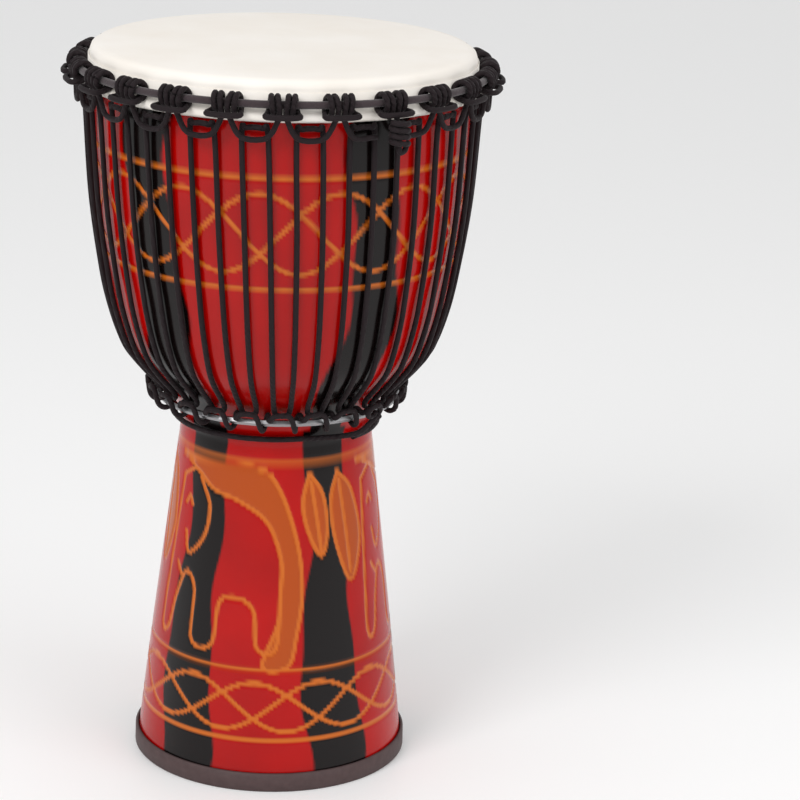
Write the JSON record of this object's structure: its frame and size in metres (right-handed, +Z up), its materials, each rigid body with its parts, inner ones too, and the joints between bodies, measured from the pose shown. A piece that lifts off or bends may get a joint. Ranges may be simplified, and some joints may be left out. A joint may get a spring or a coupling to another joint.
{
  "type": "goblet hand drum",
  "caption": "Rope-tuned goblet hand drum: carved lacquered wooden shell, skin head on hitched crown ring, rope lacing down the bowl, rubber-banded open foot.",
  "frame": {"origin": "centre of the foot on the floor, at the middle of the bounding box's bottom face", "axes": "+Z up along the shell's turning axis towards the playing skin; -Y is the side the picture sees, +X to its right"},
  "size_m": [0.3524, 0.3524, 0.6],
  "materials": {
    "lacquered_wood": "glossy lacquer",
    "foot_rubber": "matt",
    "drum_skin": "smooth matt",
    "ring_steel": "plain rod",
    "ring_cloth": "matt cloth",
    "rope": "braided cord"
  },
  "bodies": {
    "root": {"shell": "lacquered_wood", "foot_band": "foot_rubber", "drum_head": "drum_skin", "flesh_hoop": "ring_steel", "crown_ring": "ring_steel", "crown_ring_cloth": "ring_cloth", "bottom_ring": "ring_steel", "crown_hitch_rope": "rope", "bottom_hitch_rope": "rope", "lacing_rope": "rope", "crown_knot": "rope", "tail_rope": "rope"}
  },
  "joints": []
}
